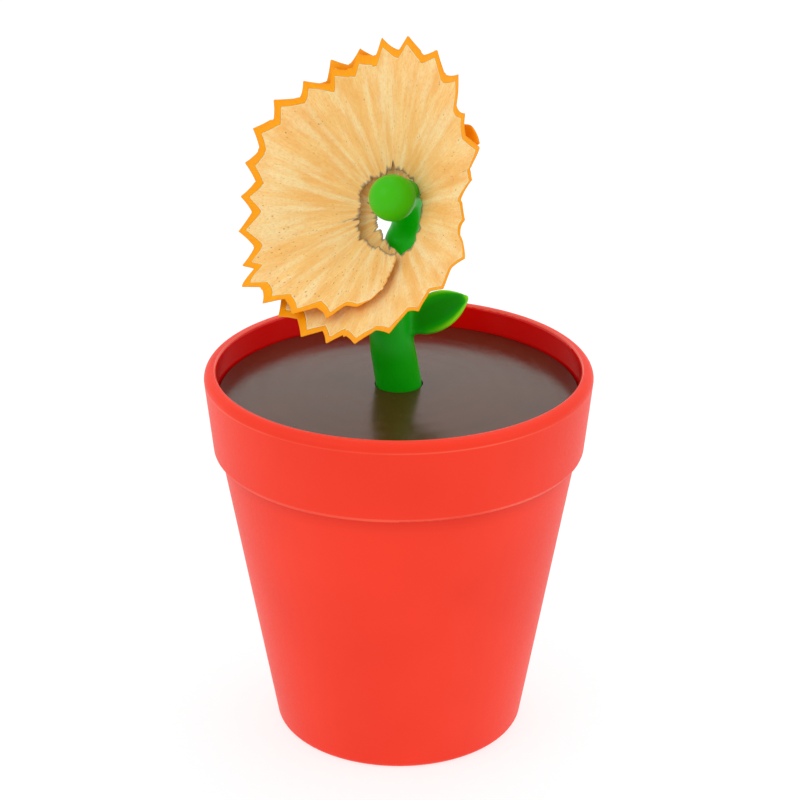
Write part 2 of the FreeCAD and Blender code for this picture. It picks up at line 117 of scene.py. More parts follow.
class Nodes:
    """A short way to write a material's nodes."""

    def __init__(self, name):
        self.material = bpy.data.materials.new(name)
        self.material.use_nodes = True
        self.tree = self.material.node_tree
        self.shader = self.tree.nodes["Principled BSDF"]
        self.position = self.add("ShaderNodeTexCoord").outputs["Object"]

    def add(self, kind, inputs=None, **settings):
        node = self.tree.nodes.new(kind)
        for key, value in settings.items():
            setattr(node, key, value)
        for key, value in (inputs or {}).items():
            self.feed(node.inputs[key], value)
        return node

    def feed(self, socket, value):
        if hasattr(value, "is_output"):
            self.tree.links.new(value, socket)
        else:
            socket.default_value = value

    def shade(self, **values):
        """Sets the shader's own sockets: Base_Color stands for Base Color."""
        for key, value in values.items():
            self.feed(self.shader.inputs[key.replace("_", " ")], value)
        return self.material

    def math(self, operation, a, b=0.0, c=0.0, clamp=False):
        node = self.add("ShaderNodeMath", operation=operation, use_clamp=clamp)
        for socket, value in zip(node.inputs, (a, b, c)):
            self.feed(socket, value)
        return node.outputs[0]

    def scaled(self, vector, scale):
        node = self.add("ShaderNodeVectorMath", operation="MULTIPLY")
        self.feed(node.inputs[0], vector)
        self.feed(node.inputs[1], scale)
        return node.outputs[0]

    def noise(self, vector, scale, detail=3.0, roughness=0.5, distortion=0.0):
        values = {"Vector": vector, "Scale": scale, "Detail": detail, "Roughness": roughness,
                  "Distortion": distortion}
        return self.add("ShaderNodeTexNoise", values).outputs["Fac"]

    def cells(self, vector, scale, randomness=1.0):
        values = {"Vector": vector, "Scale": scale, "Randomness": randomness}
        return self.add("ShaderNodeTexVoronoi", values).outputs["Distance"]

    def ramp(self, value, *stops):
        """Colours or grey levels at places along a ramp."""
        node = self.add("ShaderNodeValToRGB", {"Fac": value})
        elements = node.color_ramp.elements
        while len(elements) < len(stops):
            elements.new(0.5)
        for element, (place, colour) in zip(elements, stops):
            element.position = place
            element.color = (*colour, 1) if hasattr(colour, "__len__") else (colour, colour, colour, 1)
        return node.outputs["Color"]

    def mix(self, share, a, b, blend="MIX"):
        node = self.add("ShaderNodeMix", data_type="RGBA", blend_type=blend)
        self.feed(node.inputs[0], share)
        self.feed(node.inputs[6], (*a, 1) if isinstance(a, tuple) else a)
        self.feed(node.inputs[7], (*b, 1) if isinstance(b, tuple) else b)
        return node.outputs[2]

    def bump(self, height, distance, strength=1.0, normal=None):
        """distance is in millimetres."""
        values = {"Height": height, "Distance": distance * MM, "Strength": strength}
        if normal is not None:
            values["Normal"] = normal
        return self.add("ShaderNodeBump", values).outputs["Normal"]

    def attribute(self, name):
        return self.add("ShaderNodeAttribute", attribute_name=name).outputs["Fac"]

    def radius(self):
        """Distance from the part's upright axis, in metres."""
        flat = self.scaled(self.position, (1, 1, 0))
        return self.add("ShaderNodeVectorMath", {0: flat}, operation="LENGTH").outputs["Value"]

    def height(self):
        return self.add("ShaderNodeSeparateXYZ", {0: self.position}).outputs["Z"]


def pot_material():
    """Moulded red plastic: a fine satin skin outside, and a polished inside."""
    n = Nodes("pot_plastic")
    broad = n.noise(n.position, 60, 2)
    grain = n.noise(n.position, 2600, 3)
    wall_middle = n.math("MULTIPLY_ADD", n.height(), WALL_SLOPE, WALL_MIDDLE_AT_BASE * MM)
    inside = n.math("LESS_THAN", n.radius(), n.math("MINIMUM", wall_middle, CREST_RADIUS * MM))
    red = n.ramp(broad, (0.35, (0.88, 0.032, 0.008)), (0.65, (0.93, 0.038, 0.011)))
    # Painted shade: the body is darkened just below the band's lower edge.
    shaded = {"Value": n.height(), "From Min": (BAND_Z - SHADED_BELOW_BAND) * MM, "From Max": BAND_Z * MM}
    painted_shade_below_band = n.add("ShaderNodeMapRange", shaded).outputs[0]
    painted_shade_below_band = n.math("MULTIPLY", painted_shade_below_band, n.math("LESS_THAN", n.height(), (BAND_Z + 0.3) * MM))
    red = n.mix(n.math("MULTIPLY", painted_shade_below_band, 0.3), red, (0.55, 0.01, 0.003))
    # Painted highlights: lighter lines along the band's rounded lower edge and round the rim's outer edge.
    edge_highlights = n.math("COMPARE", n.height(), (BAND_Z + BAND_ROUNDING) * MM, BAND_HIGHLIGHT * MM)
    edge_highlights = n.math("MAXIMUM", edge_highlights, n.math("COMPARE", n.height(), (POT_TOP - RIM_DROP) * MM, RIM_HIGHLIGHT * MM))
    red = n.mix(n.math("MULTIPLY", edge_highlights, n.ramp(broad, (0.4, 0.15), (0.6, 0.5))), red, (1.0, 0.16, 0.09))
    colour = n.mix(inside, red, (0.92, 0.002, 0.001))
    # Painted highlight: a light line along the rim's inner lip.
    lip_highlight = n.math("COMPARE", n.radius(), (CREST_RADIUS - LIP_INSET) * MM, LIP_HIGHLIGHT * MM)
    lip_highlight = n.math("MULTIPLY", lip_highlight, n.math("GREATER_THAN", n.height(), (POT_TOP - LIP_DEPTH) * MM))
    colour = n.mix(n.math("MULTIPLY", lip_highlight, 0.6), colour, (1.0, 0.2, 0.12))
    satin = n.ramp(grain, (0.3, 0.4), (0.7, 0.5))
    roughness = n.mix(inside, satin, (0.16, 0.16, 0.16))
    skin = n.bump(grain, 0.012, 0.6)
    return n.shade(Base_Color=colour, Roughness=roughness, Normal=skin, IOR=1.48, Specular_IOR_Level=0.24)


def plain_plastic(name, dark, light, roughness):
    """Moulded plastic with slightly mottled colour and a fine skin."""
    n = Nodes(name)
    colour = n.ramp(n.noise(n.position, 90, 3), (0.3, dark), (0.7, light))
    grain = n.noise(n.position, 2400, 3)
    gloss = n.ramp(grain, (0.3, roughness), (0.7, roughness + 0.08))
    return n.shade(Base_Color=colour, Roughness=gloss, Normal=n.bump(grain, 0.008, 0.5), IOR=1.47)


def soil_material():
    """Brown moulded lid, semi-gloss, with faint rings about its middle and fine dust."""
    n = Nodes("soil_plastic")
    mottle = n.noise(n.position, 120, 4, 0.6)
    wobble = n.math("MULTIPLY", n.noise(n.position, 90, 2), RING_WOBBLE * MM)
    ring_place = n.math("MULTIPLY", n.math("ADD", n.radius(), wobble), 2 * math.pi / (RING_PITCH * MM))
    rings = n.math("SINE", ring_place)
    fine = n.noise(n.position, 1500, 4)
    dust = n.noise(n.position, 5200, 2)
    colour = n.ramp(mottle, (0.3, (0.048, 0.011, 0.003)), (0.7, (0.075, 0.019, 0.006)))
    colour = n.mix(n.ramp(dust, (0.66, 0.0), (0.8, 0.35)), colour, (0.25, 0.16, 0.11))
    roughness = n.math("ADD", n.ramp(fine, (0.3, 0.17), (0.7, 0.26)), n.math("MULTIPLY", rings, 0.015))
    surface = n.bump(rings, 0.006, 0.5)
    surface = n.bump(fine, 0.012, 0.5, surface)
    return n.shade(Base_Color=colour, Roughness=roughness, Normal=surface, IOR=1.68,
                   Specular_Tint=(1.0, 0.83, 0.68, 1))


def stem_material():
    """Glossy green moulding, with painted light at the ball and at the leaf's thin rim, standing in for
    light passing through, and painted shade in the leaf's hollow middle.
    """
    n = Nodes("stem_plastic")
    # Painted light: the ball is coloured lighter than the stem.
    colour = n.mix(n.attribute("ball"), (0.0, 0.4, 0.0), (0.055, 0.5, 0.0))
    mottle = n.noise(n.position, 180, 3)
    colour = n.mix(n.ramp(mottle, (0.35, 0.0), (0.7, 0.3)), colour, (0.0, 0.5, 0.0))
    # Painted shade in the leaf's hollow middle, and painted light along its thin rim.
    colour = n.mix(n.attribute("leaf_hollow_shade"), colour, (0.0, 0.24, 0.0))
    colour = n.mix(n.attribute("leaf_rim_light"), colour, (0.28, 0.78, 0.0))
    grain = n.noise(n.position, 1600, 3)
    gloss = n.ramp(grain, (0.3, 0.3), (0.7, 0.4))
    return n.shade(Base_Color=colour, Roughness=gloss, Normal=n.bump(grain, 0.01, 0.5), IOR=1.46,
                   Specular_IOR_Level=0.2, Subsurface_Weight=0.18, Subsurface_Radius=(0.3, 1.0, 0.2),
                   Subsurface_Scale=0.8 * MM)


def shaving_grain(n):
    """Coordinates along the curl, in millimetres: across the fibres, and along them."""
    across = n.math("MULTIPLY", n.attribute("tooth"), TOOTH_PITCH)
    along = n.attribute("slant")
    return n.add("ShaderNodeCombineXYZ", {"X": across, "Y": along, "Z": 0.0}).outputs[0]


def wood_material():
    """Freshly cut wood: fibres that run from the hole to the rim, flecks, a smudged ragged edge, and
    painted shade along the crack at the hole.
    """
    n = Nodes("shaving_wood")
    place = shaving_grain(n)
    fibre = n.noise(n.scaled(place, (5.5, 0.28, 1)), 1.0, 5, 0.62)
    hair = n.noise(n.scaled(place, (17.0, 0.7, 1)), 1.0, 3, 0.6)
    patch = n.noise(n.scaled(place, (0.35, 0.16, 1)), 1.0, 3, 0.55)
    streak = n.noise(n.scaled(place, (0.42, 0.1, 1)), 1.0, 4, 0.55)
    speckle = n.noise(n.scaled(place, (3.6, 1.9, 1)), 1.0, 5, 0.75)
    chatter = n.noise(n.scaled(place, (0.5, 5.5, 1)), 1.0, 3, 0.5)
    colour = n.ramp(fibre, (0.2, (0.95, 0.46, 0.12)), (0.5, (1.0, 0.62, 0.22)), (0.8, (1.0, 0.76, 0.33)))
    colour = n.mix(n.ramp(patch, (0.4, 0.0), (0.62, 0.75)), colour, (0.93, 0.47, 0.11))
    colour = n.mix(n.ramp(streak, (0.46, 0.0), (0.64, 0.7)), colour, (1.0, 0.79, 0.42))
    colour = n.mix(n.ramp(speckle, (0.48, 0.0), (0.7, 0.6)), colour, (0.84, 0.37, 0.08))
    colour = n.mix(n.ramp(hair, (0.58, 0.0), (0.75, 0.4)), colour, (0.7, 0.38, 0.13))
    fleck = n.cells(n.scaled(place, (1.7, 1.1, 1)), 1.0)
    rare = n.math("ADD", n.noise(n.scaled(place, (0.9, 0.5, 1)), 1.0, 2), n.attribute("flecked"))
    flecks = n.ramp(fleck, (0.05, 1.0), (0.19, 0.0))
    flecks = n.math("MULTIPLY", flecks, n.ramp(rare, (0.5, 0.0), (0.64, 0.9)))
    colour = n.mix(flecks, colour, (0.28, 0.11, 0.03))
    # The smudge along the ragged inner edge, together with the crack's painted shade.
    colour = n.mix(n.attribute("smudge_and_crack_shade"), colour, (0.16, 0.125, 0.11))
    colour = n.mix(n.attribute("primer"), colour, (1.0, 0.82, 0.5))
    surface = n.bump(fibre, 0.06, 0.55)
    surface = n.bump(chatter, 0.04, 0.35, surface)
    surface = n.bump(hair, 0.03, 0.5, surface)
    return n.shade(Base_Color=colour, Roughness=0.62, Normal=surface, Subsurface_Weight=0.3,
                   Subsurface_Radius=(1.0, 0.6, 0.3), Subsurface_Scale=0.5 * MM, Specular_IOR_Level=0.3)


def lacquer_material():
    """Orange pencil lacquer, cut through at a shallow angle: deeper towards the rim, with fine marks."""
    n = Nodes("shaving_lacquer")
    place = shaving_grain(n)
    streak = n.noise(n.scaled(place, (6.0, 0.5, 1)), 1.0, 3)
    colour = n.ramp(streak, (0.3, (1.0, 0.33, 0.0)), (0.7, (1.0, 0.42, 0.0)))
    colour = n.mix(n.attribute("rim_depth"), colour, (0.95, 0.27, 0.0))
    return n.shade(Base_Color=colour, Roughness=0.34, Normal=n.bump(streak, 0.03, 0.4), IOR=1.5,
                   Specular_IOR_Level=0.2, Subsurface_Weight=0.1, Subsurface_Radius=(1.0, 0.4, 0.1),
                   Subsurface_Scale=0.3 * MM)


def metal_material(name, colour, roughness, stretch, anisotropy=0.0):
    """Metal with fine marks along one axis: stretch is the marks' density along X, Y and Z."""
    n = Nodes(name)
    marks = n.noise(n.scaled(n.position, stretch), 1.0, 4, 0.65)
    stain = n.noise(n.position, 200, 3)
    dark = tuple(0.8 * c for c in colour)
    base = n.mix(n.ramp(stain, (0.4, 0.0), (0.75, 0.7)), colour, dark)
    gloss = n.ramp(marks, (0.3, roughness), (0.7, roughness + 0.14))
    return n.shade(Base_Color=base, Metallic=1.0, Roughness=gloss, Normal=n.bump(marks, 0.012, 0.5),
                   Anisotropic=anisotropy)


# ---------------------------------------------------------------- stem, ball and leaf

BALL_RADIUS = 2.95
BALL_PLACE = (-0.8, -0.4, 25.16)         # the ball's middle, from the middle of the soil
PEG_DEPTH = 7.55                         # how far the stem goes down into the lid's socket
# The stem's centreline and radius, from the middle of the soil.
STEM_ROUTE = (
    (0.0, 0.0, -PEG_DEPTH, 2.97),
    (0.0, 0.0, -4.0, 2.97),
    (0.03, 0.0, -0.6, 2.97),
    (-0.42, 0.1, 2.6, 2.92),
    (-0.9, 0.4, 5.9, 2.84),
    (-0.9, 2.3, 10.4, 2.65),
    (-0.1, 4.3, 14.7, 2.3),
    (0.35, 5.0, 17.6, 2.15),
    (0.75, 4.85, 19.3, 1.85),
    (1.15, 4.3, 21.2, 1.95),
    (1.1, 2.9, 23.7, 2.0),
    (0.5, 1.2, 25.1, 2.05),
    (*BALL_PLACE, 2.2),
)
LEAF_PLACE = (4.4, -0.2, 9.6)            # the leaf's middle
LEAF_LENGTH = 9.9
LEAF_WIDTH = 5.4
LEAF_THICKNESS = 1.7
LEAF_RISE_ANGLE = 31.0                   # degrees: the leaf points to the right and up
LEAF_FACE_ANGLE = 42.0                   # and its face looks forward and up
LEAF_CUP = 0.62                          # how far the rims stand forward of the middle
LEAF_CUP_BACK = 0.25                     # the whole leaf is moved back by this
LEAF_BEND = 0.35                         # how far the leaf's two ends lie behind its middle
LEAF_HOLLOW = 0.55                       # the share of its front half that the middle is thinned by
ROUTE_STEPS, STEM_SIDES = 10, 48         # sections per stretch of the route, and points round each
BALL_SECTIONS, BALL_SIDES = 40, 64
LEAF_SECTIONS, LEAF_SIDES = 46, 56
LEAF_LEAST_WIDTH = 0.08                  # the leaf's ends, as a share of its width
VOXEL = 0.14                             # the moulding's remeshing step
SURFACE_ROUNDS, JOIN_ROUNDS = 6, 70      # rounds of smoothing: of the whole surface, and of the joins
# The middles of the joins with the leaf and with the ball, and how far each is smoothed.
JOINS = (((1.6, 0.2, 8.0), 2.9), ((0.75, 1.35, 24.3), 2.4))


def from_soil(place):
    """A place given from the middle of the soil, as a point in the part's frame."""
    return np.array(place) + np.array([0, 0, SOIL_TOP])


def vertices_of(mesh):
    points = np.empty(len(mesh.vertices) * 3)
    mesh.vertices.foreach_get("co", points)
    return points.reshape(-1, 3)


def spline(points, samples):
    """Points along a smooth curve through the given ones, whatever they hold per point."""
    points = np.array(points, dtype=float)
    padded = np.vstack([2 * points[0] - points[1], points, 2 * points[-1] - points[-2]])
    found = []
    for i in range(len(points) - 1):
        a, b, c, d = padded[i:i + 4]
        for share in np.linspace(0, 1, samples, endpoint=(i == len(points) - 2)):
            found.append(0.5 * (2 * b + (c - a) * share + (2 * a - 5 * b + 4 * c - d) * share**2
                                + (3 * b - a - 3 * c + d) * share**3))
    return np.array(found)


def loft(rings):
    """Points, and faces between rings of points with the same count, with a flat face over each end."""
    count = len(rings[0])
    points = np.vstack(rings)
    faces = []
    for r in range(len(rings) - 1):
        for i in range(count):
            j = (i + 1) % count
            faces.append((r * count + i, r * count + j, (r + 1) * count + j, (r + 1) * count + i))
    faces.append(tuple(range(count - 1, -1, -1)))
    last = (len(rings) - 1) * count
    faces.append(tuple(range(last, last + count)))
    return points, faces


def stalk_rings():
    """Round sections along the stem's route, each square to it."""
    route = spline(STEM_ROUTE, ROUTE_STEPS)
    centres = from_soil(route[:, :3])
    tangents = np.gradient(centres, axis=0)
    side = np.array([1.0, 0.0, 0.0])
    rings = []
    turn = np.linspace(0, 2 * np.pi, STEM_SIDES, endpoint=False)[:, None]
    for centre, tangent, radius in zip(centres, tangents, route[:, 3]):
        tangent = tangent / np.linalg.norm(tangent)
        side = side - tangent * (side @ tangent)
        side = side / np.linalg.norm(side)
        other = np.cross(tangent, side)
        rings.append(centre + radius * (np.cos(turn) * side + np.sin(turn) * other))
    return rings


def ball_rings():
    centre = from_soil(BALL_PLACE)
    turn = np.linspace(0, 2 * np.pi, BALL_SIDES, endpoint=False)[:, None]
    rings = []
    highest = np.pi / 2 - 0.02
    for rise in np.linspace(-highest, highest, BALL_SECTIONS):
        flat = np.hstack([np.cos(turn), np.sin(turn), np.zeros_like(turn)]) * np.cos(rise)
        rings.append(centre + BALL_RADIUS * (flat + np.array([0, 0, np.sin(rise)])))
    return rings


def leaf_axes():
    rise, face = math.radians(LEAF_RISE_ANGLE), math.radians(LEAF_FACE_ANGLE)
    along = np.array([math.cos(rise), 0, math.sin(rise)])
    sideways = np.array([-math.sin(rise), 0, math.cos(rise)])
    across = sideways * math.cos(face) + np.array([0, 1, 0]) * math.sin(face)
    return along, across, np.cross(along, across)


def leaf_width(share):
    """Half the leaf's width along it, as a share of half its greatest: a blade on a short stalk."""
    share = np.clip(share, 0, 1)
    blade = np.sin(np.pi * share**1.2) ** 0.8
    return (blade**4 + (0.36 * (1 - share)) ** 4) ** 0.25


def leaf_rings():
    """Sections across the leaf: flat pads with round rims, cupped so that the rims stand forward."""
    along, across, out = leaf_axes()
    centre = from_soil(LEAF_PLACE)
    turn = np.linspace(0, 2 * np.pi, LEAF_SIDES, endpoint=False)
    rings = []
    for share in np.linspace(0.0, 1.0, LEAF_SECTIONS):
        half_width = LEAF_WIDTH / 2 * max(leaf_width(share), LEAF_LEAST_WIDTH)
        half_thick = LEAF_THICKNESS / 2 * min(1.0, 1.4 * half_width / (LEAF_WIDTH / 2)) ** 0.5
        place = centre + along * (share - 0.5) * LEAF_LENGTH
        u = np.sign(np.cos(turn)) * np.abs(np.cos(turn)) ** 0.75
        v = np.sin(turn)
        width_share = u * half_width / (LEAF_WIDTH / 2)
        cup = LEAF_CUP * width_share**2 - LEAF_CUP_BACK
        bend = -LEAF_BEND * (2 * share - 1) ** 2
        dish = np.where(v > 0, 1 - LEAF_HOLLOW * (1 - np.abs(u) ** 2.5), 1.0)
        forward = half_thick * v * dish + cup + bend
        rings.append(place + np.outer(u * half_width, across) + np.outer(forward, out))
    return rings


def joined_mesh(name, parts):
    points, faces, start = [], [], 0
    for part_points, part_faces in parts:
        points.append(part_points)
        faces += [tuple(i + start for i in face) for face in part_faces]
        start += len(part_points)
    mesh = bpy.data.meshes.new(name)
    mesh.from_pydata([tuple(p) for p in np.vstack(points) * MM], [], faces)
    mesh.update()
    return mesh


def baked(piece):
    """Replaces a piece's mesh by the result of its modifiers."""
    graph = bpy.context.evaluated_depsgraph_get()
    mesh = bpy.data.meshes.new_from_object(piece.evaluated_get(graph))
    piece.modifiers.clear()
    old = piece.data
    piece.data = mesh
    bpy.data.meshes.remove(old)


def make_stem(material):
    mesh = joined_mesh("stem", [loft(stalk_rings()), loft(ball_rings()), loft(leaf_rings())])
    stem = bpy.data.objects.new("stem_moulding", mesh)
    bpy.context.scene.collection.objects.link(stem)
    remesh = stem.modifiers.new("union", "REMESH")
    remesh.mode = "VOXEL"
    remesh.voxel_size = VOXEL * MM
    baked(stem)
    soften_joins(stem.data)
    stem.data.polygons.foreach_set("use_smooth", [True] * len(stem.data.polygons))
    stem.data.materials.append(material)
    paint_leaf(stem)
    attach(stem, "stem")
    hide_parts("stem_with_leaf")


def soften_joins(mesh):
    """Smooths the whole surface a little, and the corners where leaf and ball meet the stem a lot."""
    points = vertices_of(mesh)
    count = len(points)
    edges = np.empty(len(mesh.edges) * 2, dtype=int)
    mesh.edges.foreach_get("vertices", edges)
    a, b = edges.reshape(-1, 2).T
    neighbours = np.bincount(np.concatenate([a, b]), minlength=count)[:, None]
    strength = np.zeros(count)
    for place, reach in JOINS:
        away = np.linalg.norm(points - from_soil(place) * MM, axis=1) / MM
        strength = np.maximum(strength, 1 - smooth_step(0.45 * reach, reach, away))
    strength = strength[:, None]
    for step in range(JOIN_ROUNDS):
        total = np.zeros_like(points)
        np.add.at(total, a, points[b])
        np.add.at(total, b, points[a])
        share = np.full_like(strength, 0.6) if step < SURFACE_ROUNDS else 0.6 * strength
        points += (total / neighbours - points) * share
    mesh.vertices.foreach_set("co", points.ravel())
    mesh.update()


def paint_leaf(stem):
    """Marks the leaf's hollow middle for painted shade, and its thin rim and the ball for painted light,
    for the material.
    """
    along, across, out = leaf_axes()
    centre = from_soil(LEAF_PLACE)
    points = vertices_of(stem.data) / MM
    away = points - centre
    share = away @ along / LEAF_LENGTH + 0.5
    width = LEAF_WIDTH / 2 * leaf_width(share)
    u = away @ across / np.maximum(width, 0.2)
    height = away @ out
    on_leaf = smooth_step(0.12, 0.34, share) * (np.abs(height) < 2.2) * (np.abs(u) < 1.25) * (share < 1.1)
    edge = np.maximum(np.abs(u), smooth_step(0.8, 1.02, share))
    rim = on_leaf * smooth_step(0.66, 0.97, edge)
    from_ball = np.linalg.norm(points - from_soil(BALL_PLACE), axis=1)
    # The ball, the leaf's hollow and its rim carry painted light and shade.
    set_attribute(stem, "ball", 1 - smooth_step(2.85, 3.9, from_ball))
    set_attribute(stem, "leaf_hollow_shade", on_leaf * (1 - smooth_step(0.3, 0.85, edge)) * 0.8)
    set_attribute(stem, "leaf_rim_light", rim * smooth_step(0.2, 0.75, share) * 0.85)


# ---------------------------------------------------------------- the shaving

HALF_ANGLE = math.radians(64.0)          # of the cone that the curl lies on
AZIMUTH, ELEVATION = math.radians(40.4), math.radians(30.0)
FACING = np.array([-math.sin(AZIMUTH) * math.cos(ELEVATION), -math.cos(AZIMUTH) * math.cos(ELEVATION),
                   math.sin(ELEVATION)])
RIGHT = np.array([math.cos(AZIMUTH), -math.sin(AZIMUTH), 0.0])
UP = np.cross(FACING, RIGHT)
BALL_FROM_TIP = (5.15, 3.47, 0.86)       # from the cone's tip to the ball: along its axis, right and up
TOOTH_ANGLE = 13.87                      # degrees round the cone from one tooth to the next
TOOTH_PITCH = 4.4                        # one face of the pencil, along the curl
FIRST_TOOTH_ANGLE = -81.5
FIRST_TOOTH, LAST_TOOTH = -2.85, 43.55
TOOTH_DEPTH = 1.75
SHEET_THICKNESS = 0.3                    # of the wood,
SEAM_THICKNESS = 0.17                    # where wood and lacquer meet,
EDGE_THICKNESS = 0.08                    # and at the rim
LACQUER_START = 0.999                    # the lacquer's columns end as slanted as the wood's do there
STEPS_PER_TOOTH = 22
START_LEAN, END_LEAN = 0.85, 1.3         # how many teeth the curl's two ends lean from hole to rim

# The curl's outline: the distance of the tooth tips from the cone's tip, by tooth number.
TIP_SLANT = ((-2.05, 14.7), (-1.5, 15.7), (-0.9, 16.2), (0, 18.0), (1, 19.1), (2, 20.6), (3, 21.5),
             (4.5, 20.1), (6, 19.9), (8.5, 21.3), (11, 19.6), (12, 20.2), (13, 21.9), (14.5, 22.9),
             (16, 22.0), (17, 19.9), (18, 20.9), (19.3, 18.6), (20, 18.8), (21, 23.0), (22.5, 21.8),
             (24, 22.3), (27, 21.5), (29, 19.9), (31, 19.0), (35, 19.1), (37.2, 21.4), (38.3, 21.4),
             (40.5, 19.3), (42.1, 18.2), (43.5, 19.6))
# How many degrees each tooth lies off the even spacing.
TOOTH_SHIFT = ((-2, 0.0), (0, -1.0), (1.5, -5.5), (3, -3.5), (4, 1.2), (5.5, -1.0), (12.5, -0.5),
               (14, 2.5), (17, 2.5), (18, 0.0), (19, 3.0), (20, 0.0), (22, 1.4), (23.5, 4.0), (25.5, 2.2),
               (27, 3.6), (29, 0.0))
# How far each tooth leans: where the valley lies between two tips.
VALLEY_PLACE = ((-2, 0.5), (3, 0.6), (5, 0.5), (8, 0.6), (10, 0.72), (13, 0.7), (15, 0.6), (18, 0.45),
                (22, 0.4), (25, 0.4), (28, 0.5), (44, 0.55))
# How far each part lies behind the cone, so that the second turn clears the first.
BACKWARD = ((-3, -0.35), (1, -0.15), (6, 0.0), (16, 0.25), (22, 0.7), (26, 1.25), (32, 1.5), (44, 1.75))
# The cut lacquer's width at the tips.
BAND_WIDTH = ((-1.6, 0.05), (-0.8, 0.6), (0.5, 1.15), (3, 1.4), (6, 1.25), (9, 1.25), (13, 1.3), (16, 1.1),
              (19, 0.7), (22, 0.7), (25, 0.95), (28, 1.2), (41.5, 1.35), (43.5, 2.4))
# The curl's inner edge: its distance from the cone's tip, by tooth number.
HOLE_SLANT = ((-2.85, 9.1), (-0.9, 6.3), (1.0, 5.4), (3.0, 4.75), (4.8, 4.1), (6.2, 4.1), (8.0, 4.7),
              (11.5, 4.5), (13.5, 5.3), (15.5, 5.5), (17.3, 5.8), (18.6, 6.4), (20.0, 7.3), (21.5, 8.4),
              (22.5, 9.4), (23.3, 9.2), (24.1, 6.8), (25.4, 4.7), (27.6, 3.3), (30.7, 2.8), (33.0, 3.2),
              (36.8, 4.2), (39.5, 4.3), (41.5, 4.5), (44.0, 5.1))

# Deeper nicks in the inner edge: tooth number, depth, and width in teeth.
NICKS = ((4.4, 0.9, 0.14), (1.3, 0.5, 0.2), (10.2, 0.55, 0.22), (13.4, 0.8, 0.2), (28.2, 0.6, 0.25),
         (33.0, 0.7, 0.2))
# Folds that run from the hole to the rim: tooth number, width in teeth, and depth.
FOLDS = ((4.6, 0.55, 0.45), (7.4, 0.4, 0.16), (9.7, 0.35, 0.2), (13.2, 0.5, 0.25), (18.7, 0.45, 0.32),
         (21.9, 0.6, 0.4), (1.2, 0.5, 0.22), (29.5, 0.5, 0.3), (36.0, 0.5, 0.3))
CRACK_TOOTH, CRACK_WIDTH = 4.55, 0.045   # the crack at the hole, darkened with painted shade
BOW_SHARE = 0.4                          # how much a scallop is bowed, not straight


def ragged(tooth):
    """The torn inner edge: small splinters, with a deeper nick here and there."""
    tear = 0.2 * wander(tooth, 3, 2.2) + 0.08 * wander(tooth, 5, 6.0) + 0.03 * wander(tooth, 8, 17.0)
    nick = 0.0
    for place, depth, width in NICKS:
        nick = nick + depth * np.exp(-((tooth - place) / width) ** 2)
    return tear + nick


def scallop(tooth):
    """0 at a tooth's tip and 1 at the valley: part straight, part the bow of a pencil's flat face."""
    number = np.floor(tooth)
    valley = eased(VALLEY_PLACE, number) + 0.05 * wander(number, 11, 3.1)
    share = tooth - number
    share = np.where(share < valley, 0.5 * share / valley, 0.5 + 0.5 * (share - valley) / (1 - valley))
    bow = 1 / np.cos(np.radians(60) * (share - 0.5))
    tip = 1 / math.cos(math.radians(30))
    straight = 1 - np.abs(2 * share - 1)
    return BOW_SHARE * (tip - bow) / (tip - 1) + (1 - BOW_SHARE) * straight


def rim_slant(tooth):
    depth = TOOTH_DEPTH * (1 + 0.13 * wander(np.floor(tooth + 0.5), 13, 2.3))
    depth = depth * smooth_step(-1.3, 0.0, tooth) * (1 - smooth_step(42.3, 43.1, tooth))
    tips = eased(TIP_SLANT, tooth) + 0.16 * wander(np.round(tooth), 17, 3.7) * (tooth > 0)
    return tips - depth * scallop(tooth)


def band_width(tooth):
    """The lacquer's width: widest at the tips, as it is cut there at the shallowest angle."""
    width = eased(BAND_WIDTH, tooth) * (1 - 0.1 * scallop(tooth))
    return np.maximum(width * (1 + 0.18 * wander(tooth, 19, 1.7)), 0.02)


def fold_height(tooth, slant):
    """How far the sheet stands out of the cone, forward: broad waves, and folds that run from the hole."""
    grow = smooth_step(5.0, 19.0, slant)
    height = 0.42 * wander(tooth, 23, 0.33) * grow + 0.13 * wander(tooth, 29, 0.95) * grow
    for place, width, depth in FOLDS:
        fold = np.exp(-np.abs((tooth - place) / width) ** 1.4)
        height = height - depth * fold * smooth_step(4, 12, slant)
    ripple = np.sin(slant * 2.1 + 0.6 * wander(tooth, 31, 0.4)) * 0.025
    return height + ripple


def cone_tip():
    along, right, up = BALL_FROM_TIP
    return from_soil(BALL_PLACE) - along * FACING - right * RIGHT - up * UP


def on_curl(tooth, slant, behind):
    """Points on the curl; behind is the distance from its front face into the sheet."""
    angle = np.radians(FIRST_TOOTH_ANGLE - tooth * TOOTH_ANGLE + eased(TOOTH_SHIFT, tooth))[..., None]
    outward = np.cos(angle) * RIGHT + np.sin(angle) * UP
    along = math.cos(HALF_ANGLE) * FACING + math.sin(HALF_ANGLE) * outward
    normal = math.sin(HALF_ANGLE) * FACING - math.cos(HALF_ANGLE) * outward
    lift = fold_height(tooth.ravel(), slant.ravel()).reshape(tooth.shape) - behind
    back = eased(BACKWARD, tooth)
    return cone_tip() + along * slant[..., None] + normal * lift[..., None] - FACING * back[..., None]


def curl_grid(rows, low, high):
    """Tooth numbers and slants over the curl between two shares of its width.

    Rows run from the hole to the rim. The first and last columns are the curl's slanted ends.
    """
    columns = int((LAST_TOOTH - FIRST_TOOTH) * STEPS_PER_TOOTH)
    run = np.linspace(0, 1, columns + 1)[None, :]
    share = np.asarray(rows)[:, None]
    start = FIRST_TOOTH + START_LEAN * share**1.1 + 0.04 * wander(share * 20, 37).reshape(share.shape)
    end = LAST_TOOTH - END_LEAN * (1 - share) + 0.08 * wander(share * 15, 41).reshape(share.shape)
    tooth = start + (end - start) * run
    inner = low(tooth.ravel()).reshape(tooth.shape)
    outer = high(tooth.ravel()).reshape(tooth.shape)
    return tooth, inner + (outer - inner) * share


